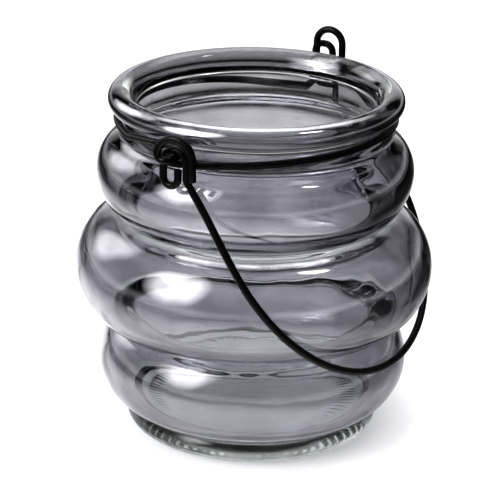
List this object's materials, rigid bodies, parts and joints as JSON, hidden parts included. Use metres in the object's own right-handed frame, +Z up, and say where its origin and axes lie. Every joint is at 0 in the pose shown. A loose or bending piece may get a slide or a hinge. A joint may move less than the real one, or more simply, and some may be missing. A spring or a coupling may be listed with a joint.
{
  "type": "hanging glass lantern jar",
  "caption": "Smoke glass jar with three round hoops, a rolled rim and a swinging black wire handle, for a tea light",
  "frame": {"origin": "centre of the flat underside that the jar stands on, on the jar's own axis", "axes": "+Z is up along the jar's axis, the handle's hinge line runs along Y with the front ear at -Y, and the handle hangs down on the +X side"},
  "size_m": [0.1, 0.1014, 0.1033],
  "materials": {
    "smoke_glass": "clear smoke-grey glass with a thin lustre",
    "black_wire": "gloss black paint on steel wire"
  },
  "bodies": {
    "jar": {"glass_jar": "smoke_glass"},
    "neck_ring": {"neck_wire_right": "black_wire", "neck_wire_left": "black_wire"},
    "handle": {"wire_handle": "black_wire"}
  },
  "joints": [
    {"name": "neck_ring_turn", "type": "hinge", "parent": "jar", "child": "neck_ring", "pos_m": [0, 0, 0.088], "axis": [0, 0, 1], "continuous": true},
    {"name": "handle_swing", "type": "hinge", "parent": "neck_ring", "child": "handle", "pos_m": [0, 0, 0.09], "axis": [0, -1, 0], "range_deg": [0, 290]}
  ]
}
